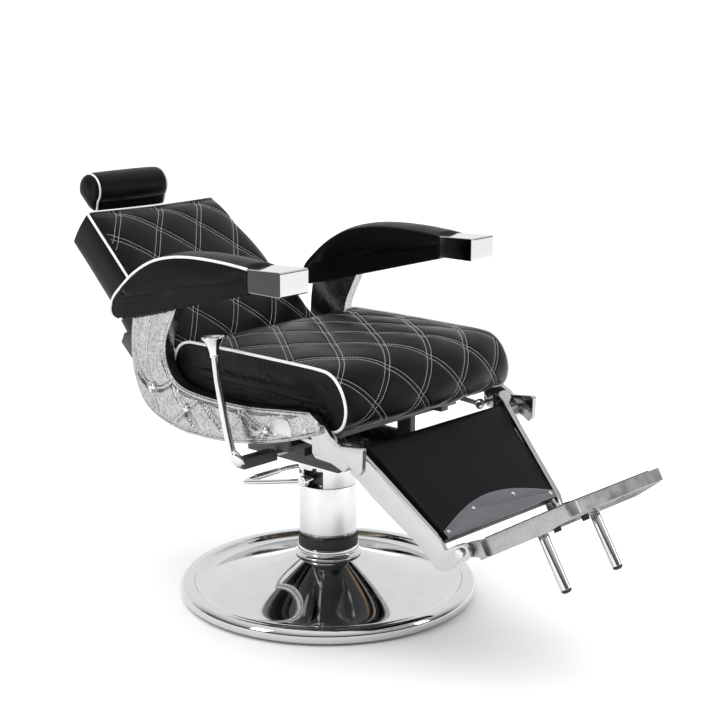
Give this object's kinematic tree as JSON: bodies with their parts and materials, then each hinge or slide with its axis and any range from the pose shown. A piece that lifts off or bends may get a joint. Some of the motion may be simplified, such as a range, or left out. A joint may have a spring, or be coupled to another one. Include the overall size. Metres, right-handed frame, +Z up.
{
  "type": "hydraulic barber chair",
  "caption": "Reclining barber chair on a chrome hydraulic column and floor ring, with quilted seat, cast side frames, armrests, headrest and folding footrest.",
  "frame": {"origin": "the swivel axis where it meets the floor, at the centre of the rubber ring's underside", "axes": "+Z up; the chair faces -Y; +X is to the occupant's left"},
  "size_m": [0.6943, 1.522, 0.9144],
  "materials": {
    "chrome": "polished",
    "cast_aluminium": "satin",
    "black_leather": "satin",
    "black_rubber": "matte",
    "black_plastic": "satin",
    "black_steel": "satin",
    "bright_steel": "satin",
    "gunmetal": "satin",
    "plywood": "matte",
    "bronze": "satin"
  },
  "bodies": {
    "base": {"base_shell": "chrome", "floor_gasket": "black_rubber", "base_plate": "black_steel", "plate_bolts": "bright_steel", "pump_cylinder": "bright_steel", "gland_nut": "bronze", "collar_ring": "chrome", "collar_band": "black_rubber", "lower_sleeve": "chrome"},
    "ram": {"piston_rod": "chrome", "swivel_bush": "bronze"},
    "chassis": {"upper_sleeve": "chrome", "pump_head": "black_steel", "mount_plate": "black_steel", "chassis_frame": "black_steel", "frame_bolts": "bright_steel", "side_casting_right": "cast_aluminium", "side_casting_left": "cast_aluminium", "casting_studs": "chrome", "side_plates": "cast_aluminium", "hinge_pins": "bright_steel", "arm_base_right": "plywood", "arm_base_left": "plywood", "arm_pad_right": "black_leather", "arm_pad_left": "black_leather", "arm_cap_right": "chrome", "arm_cap_left": "chrome", "seat_board": "plywood", "seat_cushion": "black_leather", "lever_block": "black_plastic"},
    "spring_cylinder": {"spring_tube": "black_steel"},
    "spring_rod_body": {"spring_rod": "bright_steel"},
    "push_rod_pair": {"push_rods": "bright_steel"},
    "backrest": {"back_frame": "black_steel", "back_board": "plywood", "back_cushion": "black_leather", "back_cover": "black_leather", "headrest_guide": "black_steel"},
    "clamp_knob": {"guide_knob": "black_plastic"},
    "headrest_slider": {"headrest_stem": "chrome"},
    "headrest": {"headrest_pin": "bright_steel", "headrest_core": "plywood", "headrest_pad": "black_leather"},
    "legrest": {"leg_frame_right": "chrome", "leg_frame_left": "chrome", "leg_crossbar": "bright_steel", "calf_board": "plywood", "calf_pad": "black_leather", "kick_plate": "gunmetal", "kick_screws": "chrome", "foot_bolts": "chrome"},
    "footrest": {"footplate": "cast_aluminium", "tread_strips": "black_rubber", "support_tubes": "chrome", "foot_rubbers": "black_rubber"},
    "foot_pump": {"pump_shaft": "chrome", "pump_lever": "chrome"},
    "recline_handle": {"recline_lever": "chrome", "lever_knob": "chrome", "lever_sleeve": "black_plastic"}
  },
  "joints": [
    {"name": "lift", "type": "slide", "parent": "base", "child": "ram", "axis": [0, 0, 1], "range_m": [0, 0.15]},
    {"name": "swivel", "type": "hinge", "parent": "ram", "child": "chassis", "pos_m": [0, 0, 0.27], "axis": [0, 0, 1], "continuous": true},
    {"name": "recline", "type": "hinge", "parent": "chassis", "child": "backrest", "pos_m": [0, 0.262, 0.52], "axis": [1, 0, 0], "range_deg": [-8, 36]},
    {"name": "legrest_swing", "type": "hinge", "parent": "chassis", "child": "legrest", "pos_m": [0, -0.232, 0.497], "axis": [1, 0, 0], "range_deg": [-6.5, 28.9]},
    {"name": "push_rod_pivot", "type": "hinge", "parent": "backrest", "child": "push_rod_pair", "pos_m": [0, 0.251, 0.473], "axis": [1, 0, 0], "range_deg": [-37, 9]},
    {"name": "spring_pivot", "type": "hinge", "parent": "chassis", "child": "spring_cylinder", "pos_m": [0.06, -0.13, 0.44], "axis": [1, 0, 0], "range_deg": [-1, 1]},
    {"name": "spring_stroke", "type": "slide", "parent": "spring_cylinder", "child": "spring_rod_body", "axis": [0, 0.9963, 0.0863], "range_m": [-0.0075, 0.0295]},
    {"name": "headrest_slide", "type": "slide", "parent": "backrest", "child": "headrest_slider", "axis": [0, 0.7771, 0.6293], "range_m": [-0.03, 0.09]},
    {"name": "headrest_tilt", "type": "hinge", "parent": "headrest_slider", "child": "headrest", "pos_m": [0, 0.69468, 0.87553], "axis": [1, 0, 0], "range_deg": [-20, 20]},
    {"name": "headrest_clamp", "type": "hinge", "parent": "backrest", "child": "clamp_knob", "pos_m": [0, 0.59508, 0.71251], "axis": [0, -0.6293, 0.7771], "range_deg": [-180, 180]},
    {"name": "footplate_flip", "type": "hinge", "parent": "legrest", "child": "footrest", "pos_m": [0, -0.544, 0.273], "axis": [1, 0, 0], "range_deg": [-100, 0]},
    {"name": "pump_stroke", "type": "hinge", "parent": "chassis", "child": "foot_pump", "pos_m": [0, -0.012, 0.284], "axis": [1, 0, 0], "range_deg": [-25, 12], "stiffness_Nm_per_rad": 60},
    {"name": "recline_release", "type": "hinge", "parent": "chassis", "child": "recline_handle", "pos_m": [-0.33, -0.052, 0.383], "axis": [1, 0, 0], "range_deg": [-14, 0], "stiffness_Nm_per_rad": 40, "springref_deg": 5.73}
  ],
  "couplings": [
    {"joint": "legrest_swing", "follows": "recline", "ratio": 0.8},
    {"joint": "push_rod_pivot", "follows": "recline", "ratio": -1},
    {"joint": "spring_pivot", "follows": "recline", "ratio": -0.005},
    {"joint": "spring_stroke", "follows": "recline", "m_per_rad": 0.0445}
  ]
}
